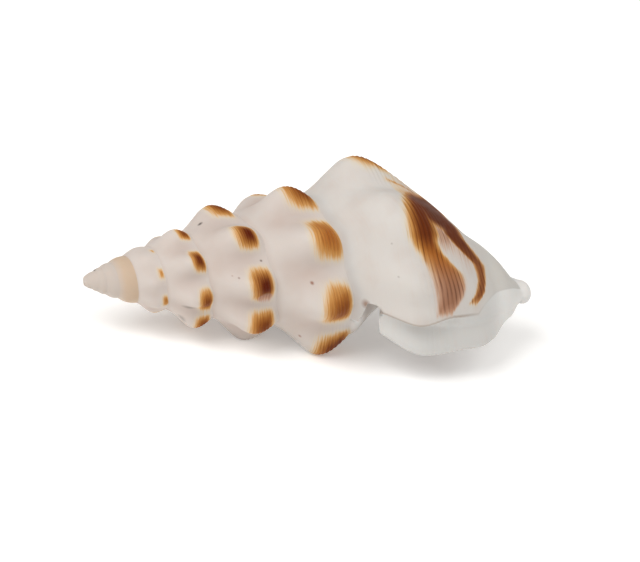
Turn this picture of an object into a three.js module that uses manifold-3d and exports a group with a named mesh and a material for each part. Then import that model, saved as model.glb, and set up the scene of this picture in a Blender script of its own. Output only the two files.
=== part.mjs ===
// Turrid shell: a slender, knobbed sea-snail shell in one piece, lying on its mouth.
// The shell is grown, not assembled: one profile turns round an axis, grows by a fixed factor
// in every whorl, and leaves its outer face behind. All lengths are in millimetres.
//
// Shell frame: u runs along the axis from the tip of the spire to the canal, r is the distance
// from the axis, and the growth t counts whorls, with 0 at the lip and minus numbers before it.
// Level v runs across one whorl: 0 at the seam above, 1 at the seam below, 2 at the pillar.
import * as THREE from 'three';
import { LoftGeometry } from 'three/addons/geometries/LoftGeometry.js';
import { mergeGeometries, mergeVertices } from 'three/addons/utils/BufferGeometryUtils.js';
import Module from 'manifold-3d';

// Growth of the spire
const SEAM_U = 14.0;            // seam at the lip, measured along the axis from the tip
const SEAM_R = 3.75;            // seam at the lip, measured from the axis
const GROWTH_YOUNG = 1.543;     // growth of a whorl in the spire
const GROWTH_ADULT = 1.39;      // growth of the last whorl, which is a little slower
const GROWTH_CHANGE = -1.1;     // whorl at which the growth slows down
const GROWTH_BLEND = 0.15;      // whorls over which it does so
const CONE_POWER = 0.647;       // under 1 makes the outline of the spire gently convex
const WHORLS = 8;               // whorls from the first one that is modelled to the lip

// Ribs: rounded knobs low on each whorl
const RIB_HEIGHT = 0.218;       // height of a knob as a share of the whorl's height
const RIB_LEVEL = 0.64;         // level of the highest point
const RIB_FADE = 1.25;          // level where a rib of the last whorl runs out on the base
const RIB_SPACING_SPIRE = 55.4; // degrees from rib to rib
const RIB_SPACING_BODY = 60;
const RIB_SPACING_LIP = 38.5;
const RIB_CROWD = 12;           // degrees by which the ribs of the spire draw together on the back
const BULGE = 0.09;             // roundness of the wall between the ribs
const SEAM_WAVE = 0.05;         // the seam climbs a little over the knobs of the whorl before
const SWELL_LOW = 0.65;         // how far the hollow between the last two ribs is filled up

// Lip, in degrees round the axis from the middle of the back
const LIP_ANGLE = 57;           // edge of the lip
const OLD_LIP_ANGLE = 38;       // edge of the lip of an earlier stop in growth
const OLD_LIP_LEAN = 6;         // degrees that this edge steps back on the base
const LIP_FLARE = 0.64;         // how far the new lip spreads over the base
const SINUS_DEPTH = 23;         // the slit near the seam
const LIP_WALL = 0.22;
const WALL = 0.5;

// Base, pillar and canal
const BASE_END_FIRST = 18.0;    // where the base meets the pillar, one whorl before the lip
const BASE_END_LAST = 24.75;    // where it does so at the lip
const PILLAR_R = 1.1;           // radius of the pillar where the base first meets it
const TIP_R = 0.66;             // radius at the end of the canal
const NECK_SWELL = 0.3;         // low roll round the neck before the canal
const MOUTH_TUCK = 0.66;        // how far the base is hollowed beside the mouth
const TIP_RING_U = 24.9;
const TIP_U = 25.45;
const NECK_BEND = 2.62;         // sideways bend of the neck towards the lip
const NECK_BEND_FROM = 15.1;
const MOUTH_DEPTH = 0.8;        // whorls that the mouth goes in

// Resting position
const REST_TURN = 146.6;        // degrees round the axis
const REST_DIP = -5.4;          // degrees that the axis dips
const REST_FLAT = 0.1;          // depth of the small level spots on which it rests

const rad = (deg) => deg * Math.PI / 180;
const clamp01 = (x) => Math.min(1, Math.max(0, x));
const lerp = (a, b, k) => a + (b - a) * k;
const ease = (a, b, x) => THREE.MathUtils.smoothstep(x, a, b);
const swell = (mid, width, x) => Math.exp(-(((x - mid) / width) ** 2));
const angleOf = (t) => LIP_ANGLE + 360 * t;

// Natural logarithm of the size at growth t, with size 1 at the lip
function logSize(t) {
  const past = GROWTH_BLEND * Math.log1p(Math.exp((GROWTH_CHANGE - t) / GROWTH_BLEND));
  return Math.log(GROWTH_ADULT) * t - Math.log(GROWTH_YOUNG / GROWTH_ADULT) * past;
}

// Edge of the older lip at level v, in degrees
const oldLipAngle = (v) => OLD_LIP_ANGLE - OLD_LIP_LEAN * ease(0.5, 1, v) * (1 - ease(1.5, 2, v));

// Degrees as they would be if the ribs of the spire stood evenly
function evenAngle(deg) {
  const crowd = RIB_CROWD * Math.sin(rad(deg - 35)) * (1 - ease(-290, -200, deg));
  return deg + crowd - 5.5 * swell(-730, 130, deg) - 9 * swell(-510, 60, deg) + 7 * swell(-350, 80, deg);
}

// Height of the ribs at growth t: 1 on a crest, 0 between two ribs
function rib(t, v = 0) {
  const deg = angleOf(t);
  const even = evenAngle(deg);
  let count;
  if (even > -20) count = Math.min(1, (even + 20) / RIB_SPACING_LIP);
  else if (even > -380) count = (even + 20) / RIB_SPACING_BODY;
  else count = -6 + (even + 380) / RIB_SPACING_SPIRE;
  const wave = Math.pow(0.5 + 0.5 * Math.cos(2 * Math.PI * count), 1.1);
  const filled = lerp(wave, 1, SWELL_LOW * ease(-62, -32, deg));
  const edge = oldLipAngle(v);
  const oldLip = filled - 0.1 * swell(edge - 10, 6, deg);
  const newLip = 0.45 + 0.52 * ease(edge + 4.5, LIP_ANGLE, deg);
  return lerp(oldLip, newLip, ease(edge, edge + 4, deg));
}

// The first whorls are smooth
const relief = (t) => ease(-4.9, -3.0, t);

function seam(t) {
  const size = Math.exp(logSize(t));
  const r = SEAM_R * Math.pow(size, CONE_POWER);
  const wave = SEAM_WAVE * rib(t - 1) * relief(t - 1) * r;
  return { u: SEAM_U * size + 0.9 * wave, r: r + wave };
}

// Share of a rib's height at level v: it rises from the seam, and on the last whorl it fades on the base
function ribShare(t, v) {
  if (v < RIB_LEVEL) return ease(0, 1, Math.pow(v / RIB_LEVEL, 1.19));
  const pinched = Math.pow(Math.cos(0.5 * Math.PI * clamp01((v - RIB_LEVEL) / (1 - RIB_LEVEL))), 0.9);
  const faded = 0.5 + 0.5 * Math.cos(Math.PI * clamp01((v - RIB_LEVEL) / (RIB_FADE - RIB_LEVEL)));
  return lerp(pinched, faded, ease(-0.87, -0.72, t));
}

// Where the base meets the pillar
function baseEnd(t) {
  const q = t + 1;
  if (q < 0) return BASE_END_FIRST * Math.exp(logSize(q) - logSize(0));
  return lerp(BASE_END_FIRST, BASE_END_LAST, 1 - Math.pow(1 - Math.min(1, q), 2.3));
}

// The pillar narrows towards the end of the canal
function pillarR(u) {
  const along = clamp01((u - BASE_END_FIRST) / (BASE_END_LAST - BASE_END_FIRST));
  return lerp(PILLAR_R, TIP_R, along ** 3);
}

// Outer profile of the shell at growth t and level v
function profile(t, v) {
  const above = seam(t);
  const below = seam(t + 1);
  const du = below.u - above.u;
  const dr = below.r - above.r;
  const height = Math.hypot(du, dr);
  const nu = -dr / height;
  const nr = du / height;
  let u;
  let r;
  if (v <= 1) {
    const bulge = BULGE * height * Math.sin(Math.PI * v);
    u = above.u + du * v + nu * bulge;
    r = above.r + dr * v + nr * bulge;
  } else {
    const w = Math.min(1, v - 1);
    const end = baseEnd(t);
    const endR = pillarR(end);
    const span = Math.hypot(end - below.u, below.r - endR);
    const roll = NECK_SWELL * Math.sin(Math.PI * clamp01(2.4 * w - 1.4)) ** 2;
    const byMouth = ease(-0.9, -0.3, t + 1) * (1 - ease(0.08, 0.3, t + 1));
    const tuck = MOUTH_TUCK * byMouth * Math.sin(Math.PI * clamp01(w / 0.8)) ** 2;
    const h00 = 2 * w ** 3 - 3 * w ** 2 + 1;
    const h10 = w ** 3 - 2 * w ** 2 + w;
    const h01 = 3 * w ** 2 - 2 * w ** 3;
    const h11 = w ** 3 - w ** 2;
    const startU = du - Math.PI * BULGE * height * nu;
    const startR = dr - Math.PI * BULGE * height * nr;
    u = h00 * below.u + h10 * startU + h01 * end + h11 * 0.85 * span;
    r = h00 * below.r + h10 * startR + h01 * endR - h11 * 0.55 * span + roll - tuck;
  }
  const knob = RIB_HEIGHT * rib(t, v) * relief(t) * ribShare(t, v) * height;
  const spread = Math.pow(Math.sin(Math.PI * clamp01((v - 0.8) / 1.2)), 1.5);
  const flare = LIP_FLARE * ease(34, 52, angleOf(t)) * spread;
  return { u: u + nu * knob, r: r + nr * knob + flare };
}

// A point at angle t round the axis, with the neck bent towards the lip
function place(u, r, t) {
  const a = rad(angleOf(t));
  const end = TIP_U + 1.6;
  const bend = NECK_BEND * ease(NECK_BEND_FROM, end, u) / ease(NECK_BEND_FROM, end, TIP_U);
  return new THREE.Vector3(u, r * Math.cos(a), r * Math.sin(a) + bend);
}

// The edge of the lip isn't straight: it steps back at the slit near the seam and again before the canal
function lipGrowth(t, v) {
  const deg = angleOf(t);
  const slit = -SINUS_DEPTH * ease(0.07, 0.13, v) * (1 - ease(0.22, 0.28, v));
  const notch = -8 * Math.sin(Math.PI * clamp01((v - 1.5) / 0.5)) ** 2;
  const shoulder = -3 * ease(0.8, 1.1, v) * (1 - ease(1.4, 1.65, v));
  const old = oldLipAngle(v) - OLD_LIP_ANGLE;
  const late = clamp01((deg - OLD_LIP_ANGLE) / (LIP_ANGLE - OLD_LIP_ANGLE));
  const lean = lerp(old, notch + shoulder, late) * ease(14, OLD_LIP_ANGLE, deg);
  return t + (lean + slit * ease(-0.12, 0, t)) / 360;
}

function outer(t, v) {
  const g = lipGrowth(t, v);
  const p = profile(g, v);
  return place(p.u, p.r, g);
}

// The inside of the last whorl: the outer profile moved in by the thickness of the wall
function inner(t, v) {
  const g = lipGrowth(t, v);
  const step = 0.01;
  const p = profile(g, v);
  const a = profile(g, Math.max(0, v - step));
  const b = profile(g, Math.min(2, v + step));
  const length = Math.hypot(b.u - a.u, b.r - a.r);
  const wall = lerp(WALL, LIP_WALL, ease(-0.15, 0, t)) * ease(0, 0.5, v);
  const u = p.u + wall * (b.r - a.r) / length;
  const r = Math.max(pillarR(u), p.r - wall * (b.u - a.u) / length);
  return place(u, r, g);
}

// Steps round one whorl, the same in every whorl so that the whorls meet point to point at the seam
const turn = [];
for (let deg = -300; deg <= 30; deg += 10) turn.push(deg);
turn.push(36, 38.5, 42, 47, 52, LIP_ANGLE);
const turnSteps = turn.map((deg) => (deg - LIP_ANGLE) / 360);
const lastWhorl = [-1, ...turnSteps];
const allWhorls = [-WHORLS];
for (let whorl = WHORLS - 1; whorl >= 0; whorl -= 1) {
  allWhorls.push(...turnSteps.map((t) => t - whorl));
}

// Levels across the face, and across the base from the inner edge of the lip to the pillar
const FACE = [0, 0.07, 0.13, 0.22, 0.28, 0.45, 0.64, 0.82, 1];
const BASE = [1.06, 1.2, 1.35, 1.5, 1.65, 1.82, 2];
const levels = [...FACE, ...BASE];

// Levels on the pillar, from the base one whorl before the lip to the canal
const MOUTH_END = BASE_END_LAST - LIP_WALL;
const mouthPillar = [0, 1, 2, 3].map((i) => i / 3);
const pillarLevels = mouthPillar.map((k) => lerp(BASE_END_FIRST, MOUTH_END, k));
pillarLevels.push(BASE_END_LAST, TIP_RING_U);
const onPillar = (t, u) => place(u, pillarR(u), t);

// Skins are lofted with the growth running backwards, so that they face out
const skin = (rows) => new LoftGeometry([...rows].reverse(), { closed: false });

// Outer skin: the face of every whorl, then the base and the pillar of the last one
const face = skin(allWhorls.map((t) => FACE.map((v) => outer(t, v))));
const base = skin(lastWhorl.map((t) => [1, ...BASE].map((v) => outer(t, v))));
const pillar = skin(lastWhorl.map((t) => pillarLevels.map((u) => onPillar(t, Math.max(u, baseEnd(t))))));

// Rounded end of the canal
const tipRings = [0, 25, 50, 72].map((deg) => turnSteps.map((t) => place(
  TIP_RING_U + (TIP_U - TIP_RING_U) * Math.sin(rad(deg)),
  TIP_R * Math.cos(rad(deg)),
  t,
)));
const tip = new LoftGeometry(tipRings, { capEnd: true });

// Rounded tip of the spire, closing the first turn
const firstTurn = allWhorls.filter((t) => t < 0.5 / 360 + 1 - WHORLS).map((t) => outer(t, 0));
const firstStep = FACE.slice(1, -1).reverse().map((v) => outer(-WHORLS, v));
const firstRing = [...firstTurn, ...firstStep];
const apexRings = [[0.1, 0.35], [0.5, 0.8], [1, 1]].map(([along, across]) => firstRing.map(
  (p) => new THREE.Vector3(p.x * along, p.y * across, p.z * across),
));
const apex = new LoftGeometry(apexRings, { capStart: true });

// Mouth: a hollow that follows the last whorl inwards and ends blind.
// Its loop runs along the inside of the wall, back along the pillar, and over the base of the whorl before.
const mouthSteps = lastWhorl.filter((t) => t >= -MOUTH_DEPTH);
const mouthLoops = mouthSteps.map((t) => {
  const wall = levels.slice(1, -1).map((v) => inner(t, v));
  const end = lerp(baseEnd(t) - WALL, MOUTH_END, ease(-0.15, 0, t));
  const column = mouthPillar.map((k) => onPillar(t, lerp(end, baseEnd(t - 1), k)));
  const floor = BASE.slice(0, -1).reverse().map((v) => outer(t - 1, v));
  return [...wall, ...column, ...floor];
});
const mouth = new LoftGeometry([...mouthLoops].reverse(), { capEnd: true });
const corners = mouth.index.array;
for (let i = 0; i < corners.length; i += 3) {
  [corners[i + 1], corners[i + 2]] = [corners[i + 2], corners[i + 1]];
}

// Edge of the lip, from the inside of the wall to the outside
const innerWall = levels.slice(1, -1).map((v) => inner(0, v));
const innerEdge = [outer(-1, BASE[0]), ...innerWall, onPillar(0, MOUTH_END)];
const outerEdge = levels.map((v) => outer(0, v));
const lip = new LoftGeometry([innerEdge, outerEdge], { closed: false });

// One closed skin
const skins = [face, base, pillar, tip, apex, mouth, lip].map((g) => {
  g.deleteAttribute('normal');
  g.deleteAttribute('uv');
  return g;
});
const closed = mergeVertices(mergeGeometries(skins), 1e-4);

// Laid down on its mouth and cut level where it touches the surface
closed.rotateX(rad(REST_TURN));
closed.rotateY(rad(REST_DIP));
closed.computeBoundingBox();
const box = closed.boundingBox;
closed.translate(-(box.min.x + box.max.x) / 2, -(box.min.y + box.max.y) / 2, -box.min.z - REST_FLAT);
const under = new THREE.BoxGeometry(60, 60, 4);
under.translate(0, 0, -2);
under.deleteAttribute('normal');
under.deleteAttribute('uv');

const wasm = await Module();
wasm.setup();
const solidOf = (g) => {
  const merged = mergeVertices(g, 1e-4);
  const vertProperties = new Float32Array(merged.getAttribute('position').array);
  const triVerts = new Uint32Array(merged.index.array);
  return new wasm.Manifold(new wasm.Mesh({ numProp: 3, vertProperties, triVerts }));
};
const cut = solidOf(closed).subtract(solidOf(under)).getMesh();
const geometry = new THREE.BufferGeometry();
geometry.setAttribute('position', new THREE.BufferAttribute(cut.vertProperties, 3));
geometry.setIndex(new THREE.BufferAttribute(cut.triVerts, 1));
geometry.computeVertexNormals();

const aragonite = new THREE.MeshStandardMaterial({ color: 0xe1dcd7, roughness: 0.45, metalness: 0 });
const shell = new THREE.Mesh(geometry, aragonite);
shell.name = 'shell';

const group = new THREE.Group();
group.add(shell);
export default group;
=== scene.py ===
# %% [markdown]
# # A turrid shell
# A turrid is a slender sea snail. Its empty shell is one piece of aragonite that was laid down, a thin
# line at a time, by an animal that turned round an axis while it grew. This lesson grows the shell in
# the same way: one set of growth rules gives every point, and flat grids are laid onto those rules.

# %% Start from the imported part
import math

import bmesh
import bpy
import numpy as np
from mathutils import Matrix, Vector


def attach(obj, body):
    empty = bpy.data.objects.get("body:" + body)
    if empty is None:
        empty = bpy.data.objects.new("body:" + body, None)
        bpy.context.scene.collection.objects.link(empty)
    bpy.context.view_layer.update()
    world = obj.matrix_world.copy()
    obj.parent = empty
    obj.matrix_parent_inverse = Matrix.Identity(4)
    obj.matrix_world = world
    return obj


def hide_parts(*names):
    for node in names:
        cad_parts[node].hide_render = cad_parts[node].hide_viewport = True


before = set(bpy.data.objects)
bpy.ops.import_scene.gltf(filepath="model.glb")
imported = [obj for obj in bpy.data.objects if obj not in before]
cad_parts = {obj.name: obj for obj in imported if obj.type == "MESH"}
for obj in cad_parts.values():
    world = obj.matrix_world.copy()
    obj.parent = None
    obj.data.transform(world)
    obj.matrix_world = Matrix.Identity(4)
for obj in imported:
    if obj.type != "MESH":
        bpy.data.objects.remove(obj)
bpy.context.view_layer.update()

# %% [markdown]
# ## Growth
# A snail adds shell only at its lip, so the whole form is a record of one growing outline. Growth t
# counts whorls: 0 is the lip, minus 1 is one turn earlier. Level v runs across one whorl: 0 is the seam
# above, 1 the seam below and 2 the pillar in the middle. A sculpted mesh could copy the outline of the
# shell, but the growth rules give the seams, the ribs and the markings one shared measure, so they all
# fit together. All lengths in these cells are millimetres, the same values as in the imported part.

# %% Spiral of the seam
GROWTH_YOUNG = 1.543
GROWTH_ADULT = 1.39
GROWTH_CHANGE = -1.1
GROWTH_BLEND = 0.15
WHORLS = 8
LIP_ANGLE = 57


def degrees_at(t):
    """Degrees round the axis, from the middle of the back; the lip is at 57."""
    return LIP_ANGLE + 360 * t


def growth_at(degrees):
    return (degrees - LIP_ANGLE) / 360


def log_size(t):
    """Logarithm of the size at growth t; the young shell grew faster than the adult one."""
    past = GROWTH_BLEND * np.logaddexp(0, (GROWTH_CHANGE - t) / GROWTH_BLEND)
    return math.log(GROWTH_ADULT) * t - math.log(GROWTH_YOUNG / GROWTH_ADULT) * past


print("the first whorl is", round(float(np.exp(log_size(-WHORLS))), 4), "of the size of the last")

# %% Soft steps and swellings, which all the rules use


def ease(start, end, x):
    """A soft step from 0 at start to 1 at end."""
    k = np.clip((x - start) / (end - start), 0, 1)
    return k * k * (3 - 2 * k)


def swell(middle, width, x):
    return np.exp(-(((x - middle) / width) ** 2))


def mix(a, b, k):
    return a + (b - a) * k


print("a quarter of the way along, a soft step is at", round(float(ease(0, 1, 0.25)), 3))

# %% Where the ribs stand
RIB_SPACING_SPIRE = 55.4
RIB_SPACING_BODY = 60
RIB_SPACING_LIP = 38.5
BODY_RIBS = 6
LAST_BODY_RIB = -20
LAST_SPIRE_RIB = LAST_BODY_RIB - BODY_RIBS * RIB_SPACING_BODY
RIB_CROWD = 12
CROWD_TURN = 35
CROWD_FADES = -290
CROWD_ENDS = -200
# Ribs that stand a little aside: at which degrees, over what width, and by how many degrees
RIB_SHIFTS = ((-730, 130, -5.5), (-510, 60, -9), (-350, 80, 7))


def even_degrees(deg):
    """Degrees as they would be if the ribs of the spire stood evenly: they are closer on the back."""
    crowd = RIB_CROWD * np.sin(np.radians(deg - CROWD_TURN)) * (1 - ease(CROWD_FADES, CROWD_ENDS, deg))
    return deg + crowd + sum(shift * swell(at, width, deg) for at, width, shift in RIB_SHIFTS)


def rib_count(t):
    """Counts the ribs along the growth; a whole number is a crest."""
    even = even_degrees(degrees_at(t))
    spire = -BODY_RIBS + (even - LAST_SPIRE_RIB) / RIB_SPACING_SPIRE
    body = (even - LAST_BODY_RIB) / RIB_SPACING_BODY
    lip = np.minimum(1, (even - LAST_BODY_RIB) / RIB_SPACING_LIP)
    return np.where(even > LAST_BODY_RIB, lip, np.where(even > LAST_SPIRE_RIB, body, spire))


print("ribs on the last whorl:", round(float(rib_count(0.0) - rib_count(-1.0)), 1))

# %% How the ribs rise
RIB_POWER = 1.1
# The last two ribs are broad, and the hollow between them is partly filled
FILLED = 0.65
FILL_STARTS = -62
FILL_ENDS = -32
OLD_LIP_ANGLE = 38
OLD_LIP_LEAN = 6
OLD_LIP_GROOVE = 0.1
NEW_LIP_STEP = 0.45
NEW_LIP_RISE = 0.52


def old_lip_angle(v):
    """Where the shell once stopped growing: an older lip, which leans back on the base."""
    return OLD_LIP_ANGLE - OLD_LIP_LEAN * ease(0.5, 1, v) * (1 - ease(1.5, 2, v))


def rib(t, v=0.0):
    """1 on the crest of a rib, 0 between two ribs."""
    deg = degrees_at(t)
    wave = (0.5 + 0.5 * np.cos(2 * np.pi * rib_count(t))) ** RIB_POWER
    filled = mix(wave, 1, FILLED * ease(FILL_STARTS, FILL_ENDS, deg))
    edge = old_lip_angle(v)
    old_lip = filled - OLD_LIP_GROOVE * swell(edge - 10, 6, deg)
    new_lip = NEW_LIP_STEP + NEW_LIP_RISE * ease(edge + 4.5, LIP_ANGLE, deg)
    return mix(old_lip, new_lip, ease(edge, edge + 4, deg))


def relief(t):
    """The first whorls, which grew in the egg, are smooth, and the ribs rise slowly after them."""
    return ease(-4.9, -3.0, t)


print("height of the ribs four whorls back:", round(float(relief(-4.0)), 2), "of the full height")

# %% Seam, ribs and threads of a whorl
SEAM_U = 14.0
SEAM_R = 3.75
CONE_POWER = 0.647
SEAM_WAVE = 0.05
RIB_LEVEL = 0.64
RIB_FADE = 1.25
THREADS = 20
THREAD_HEIGHT = 0.03
# The next whorl covers the base up to the first of these growths; past the second one it lies open
BASE_COVERED = -0.87
BASE_OPEN = -0.72


def seam(t):
    """The seam's distance along the axis and from the axis; it waves over the ribs that it covers."""
    size = np.exp(log_size(t))
    r = SEAM_R * size**CONE_POWER
    wave = SEAM_WAVE * rib(t - 1) * relief(t - 1) * r
    return SEAM_U * size + 0.9 * wave, r + wave


def rib_share(t, v):
    """A rib rises from the seam above; on the last whorl it fades out over the base."""
    rise = ease(0, 1, np.clip(v / RIB_LEVEL, 0, 1) ** 1.19)
    pinched = np.cos(0.5 * np.pi * np.clip((v - RIB_LEVEL) / (1 - RIB_LEVEL), 0, 1)) ** 0.9
    faded = 0.5 + 0.5 * np.cos(np.pi * np.clip((v - RIB_LEVEL) / (RIB_FADE - RIB_LEVEL), 0, 1))
    return np.where(v < RIB_LEVEL, rise, mix(pinched, faded, ease(BASE_COVERED, BASE_OPEN, t)))


def thread(t, v):
    """Fine spiral threads, which run along the growth; they are strongest where the knobs are."""
    wave = np.cos(2 * np.pi * THREADS * v)
    on_knobs = ease(0.6, 0.75, v) * (1 - ease(1.0, 1.3, v)) * rib(t)
    strong = on_knobs * (1 - 0.6 * ease(-0.36, -0.3, t))
    at_seam = mix(1 - ease(0.94, 0.995, v), 1, ease(BASE_COVERED, BASE_OPEN, t))
    return THREAD_HEIGHT * wave * strong * at_seam * relief(t) * np.exp(0.6 * log_size(t))


print("the seam meets the lip at", [round(float(x), 2) for x in seam(0.0)], "mm along and off the axis")

# %% Base and pillar
BASE_END_FIRST = 18.0
BASE_END_LAST = 24.75
BASE_POWER = 2.3
PILLAR_R = 1.1
TIP_R = 0.66


def base_end(t):
    """How far along the axis the base reaches; on the last whorl it draws out into the canal."""
    q = t + 1
    young = BASE_END_FIRST * np.exp(log_size(np.minimum(q, 0)) - log_size(0.0))
    last = mix(BASE_END_FIRST, BASE_END_LAST, 1 - (1 - np.clip(q, 0, 1)) ** BASE_POWER)
    return np.where(q < 0, young, last)


def pillar_r(u):
    """Radius of the pillar, which thins towards the end of the canal."""
    along = np.clip((u - BASE_END_FIRST) / (BASE_END_LAST - BASE_END_FIRST), 0, 1)
    return mix(PILLAR_R, TIP_R, along**3)


print("half a turn before the lip, the base ends", round(float(base_end(-0.5)), 1), "mm along the axis")

# %% Profile of a whorl
RIB_HEIGHT = 0.218
BULGE = 0.09
NECK_SWELL = 0.3
MOUTH_TUCK = 0.66
LIP_FLARE = 0.64
FLARE_FROM = 34
FLARE_TO = 52


def profile(t, v):
    """Distance along the axis and from the axis."""
    # Face of the whorl, from the seam above to the seam below
    above_u, above_r = seam(t)
    below_u, below_r = seam(t + 1)
    du, dr = below_u - above_u, below_r - above_r
    height = np.hypot(du, dr)
    nu, nr = -dr / height, du / height
    x = np.clip(v, 0, 1)
    bulge = BULGE * height * np.sin(np.pi * x)
    face_u = above_u + du * x + nu * bulge
    face_r = above_r + dr * x + nr * bulge
    # Base, a smooth curve from the seam below to the pillar
    w = np.clip(v - 1, 0, 1)
    end = base_end(t)
    end_r = pillar_r(end)
    span = np.hypot(end - below_u, below_r - end_r)
    h00, h01 = 2 * w**3 - 3 * w**2 + 1, 3 * w**2 - 2 * w**3
    h10, h11 = w**3 - 2 * w**2 + w, w**3 - w**2
    start_u = du - np.pi * BULGE * height * nu
    start_r = dr - np.pi * BULGE * height * nr
    roll = NECK_SWELL * np.sin(np.pi * np.clip(2.4 * w - 1.4, 0, 1)) ** 2
    by_mouth = ease(-0.9, -0.3, t + 1) * (1 - ease(0.08, 0.3, t + 1))
    roll = roll - MOUTH_TUCK * by_mouth * np.sin(np.pi * np.clip(w / 0.8, 0, 1)) ** 2
    base_u = h00 * below_u + h10 * start_u + h01 * end + h11 * 0.85 * span
    base_r = h00 * below_r + h10 * start_r + h01 * end_r - h11 * 0.55 * span + roll
    # Ribs, threads and the flare of the lip
    knob = RIB_HEIGHT * rib(t, v) * relief(t) * rib_share(t, v) * height + thread(t, v)
    flare_share = np.sin(np.pi * np.clip((v - 0.8) / 1.2, 0, 1)) ** 1.5
    flare = LIP_FLARE * ease(FLARE_FROM, FLARE_TO, degrees_at(t)) * flare_share
    u = np.where(v <= 1, face_u, base_u) + nu * knob
    r = np.where(v <= 1, face_r, base_r) + nr * knob + flare
    return u, r


print("widest radius of the last whorl:", round(float(profile(growth_at(-20.0), 0.7)[1]), 2), "mm")

# %% Places in the shell
NECK_BEND = 2.62
NECK_BEND_FROM = 15.1
BEND_PAST_TIP = 1.6
TIP_U = 25.45


def place(u, r, t):
    """A point of the shell, with the neck bent towards the lip."""
    angle = np.radians(degrees_at(t))
    end = TIP_U + BEND_PAST_TIP
    bend = NECK_BEND * ease(NECK_BEND_FROM, end, u) / ease(NECK_BEND_FROM, end, TIP_U)
    return np.stack(np.broadcast_arrays(u, r * np.cos(angle), r * np.sin(angle) + bend), -1)


def on_pillar(t, u):
    return place(u, pillar_r(u), t)


print("the canal ends at", place(TIP_U, 0.0, 0.0).round(2), "mm")

# %% Edge of the lip
SLIT_DEPTH = 23
NOTCH_DEPTH = 8
SHOULDER_DEPTH = 3


def lip_growth(t, v):
    """The edge of the lip steps back at the slit near the seam and again before the canal."""
    deg = degrees_at(t)
    slit = -SLIT_DEPTH * ease(0.07, 0.13, v) * (1 - ease(0.22, 0.28, v))
    notch = -NOTCH_DEPTH * np.sin(np.pi * np.clip((v - 1.5) / 0.5, 0, 1)) ** 2
    shoulder = -SHOULDER_DEPTH * ease(0.8, 1.1, v) * (1 - ease(1.4, 1.65, v))
    old = old_lip_angle(v) - OLD_LIP_ANGLE
    late = np.clip((deg - OLD_LIP_ANGLE) / (LIP_ANGLE - OLD_LIP_ANGLE), 0, 1)
    lean = mix(old, notch + shoulder, late) * ease(14, OLD_LIP_ANGLE, deg)
    return t + (lean + slit * ease(-0.12, 0, t)) / 360


def outer(t, v):
    g = lip_growth(t, v)
    return place(*profile(g, v), g)


print("the lip is widest at", outer(0.0, 1.0).round(2), "mm")

# %% Inside of the wall
LIP_WALL = 0.22
WALL = 0.5
WALL_THINS = -0.15
LEVEL_STEP = 0.02


def inner(t, v):
    """The outer profile, moved in by the thickness of the wall."""
    g = lip_growth(t, v)
    u, r = profile(g, v)
    before_u, before_r = profile(g, v - LEVEL_STEP)
    after_u, after_r = profile(g, v + LEVEL_STEP)
    length = np.hypot(after_u - before_u, after_r - before_r)
    wall = mix(WALL, LIP_WALL, ease(WALL_THINS, 0, t)) * ease(0, 0.5, v)
    inside_u = u + wall * (after_r - before_r) / length
    inside_r = np.maximum(pillar_r(inside_u), r - wall * (after_u - before_u) / length)
    return place(inside_u, inside_r, g)


print("behind that edge the inside is at", inner(0.0, 1.0).round(2), "mm")

# %% [markdown]
# ## Resting place and camera
# A loose shell comes to rest on the knobs of its last two whorls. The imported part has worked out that
# pose: a turn about the long axis, a small dip and a shift. The camera looks at the back of the shell
# from the photograph's side. It is set up in the shell's own directions and then turned with the shell.

# %% From the shell's directions to the table
REST_TURN = 146.6
REST_DIP = -5.4
REST_SHIFT = Vector((-12.7915, 0.4035, 2.972))
MM = 0.001

dip = Matrix.Rotation(math.radians(REST_DIP), 4, "Y")
turn = dip @ Matrix.Rotation(math.radians(REST_TURN), 4, "X")
rest = Matrix.Scale(MM, 4) @ Matrix.Translation(REST_SHIFT) @ turn
print("the canal's end rests at", [round(x, 5) for x in rest @ Vector(place(TIP_U, 0.0, 0.0))])

# %% Camera
# PIXEL is the photograph's scale in mm at the shell; the tip of the spire is at APEX_PIXEL
PIXEL = 0.053
VIEW_TILT = math.radians(20.47)
VIEW_ROLL = math.radians(4.8)
APEX_PIXEL = (85, 281.5)
CENTRE_PIXEL = (320, 281)
PHOTO_WIDTH = 640
AIM_DEPTH = 2
LENS = 200
SENSOR = 36

right = Vector((math.cos(VIEW_TILT), math.sin(VIEW_TILT), 0))
down = Vector((0, 0, 1))
toward = Vector((-math.sin(VIEW_TILT), math.cos(VIEW_TILT), 0))
image_right = right * math.cos(VIEW_ROLL) + down * math.sin(VIEW_ROLL)
image_down = down * math.cos(VIEW_ROLL) - right * math.sin(VIEW_ROLL)
aim = image_right * (CENTRE_PIXEL[0] - APEX_PIXEL[0]) * PIXEL
aim += image_down * (CENTRE_PIXEL[1] - APEX_PIXEL[1]) * PIXEL - toward * AIM_DEPTH
distance = PHOTO_WIDTH * PIXEL * LENS / SENSOR

camera = bpy.data.objects.new("camera", bpy.data.cameras.new("camera"))
bpy.context.scene.collection.objects.link(camera)
camera.data.lens = LENS
camera.data.sensor_width = SENSOR
camera.data.clip_start = 0.001
axes = [(turn.to_3x3() @ axis).normalized() for axis in (image_right, -image_down, toward)]
facing = Matrix(axes).transposed().to_4x4()
camera.matrix_world = Matrix.Translation(rest @ (aim + toward * distance)) @ facing
bpy.context.scene.camera = camera
looks_down = math.degrees(math.asin(axes[2].z))
print("the camera is", round(distance), "mm away and looks down by", round(looks_down), "degrees")

# %% [markdown]
# ## Brown markings
# The animal lays brown colour into the shell at its lip, stronger on the ribs. On the spire that gives
# one square spot on each rib, just above the seam; on the last whorl the brown starts as one dark patch
# that parts into two bands, and they wave over the ribs. Painting an image would blur and slide, so each
# marking is a smooth field on growth and level: 0 at its faint edge and 1 in its dark middle. The
# material later turns that into colour.

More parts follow.
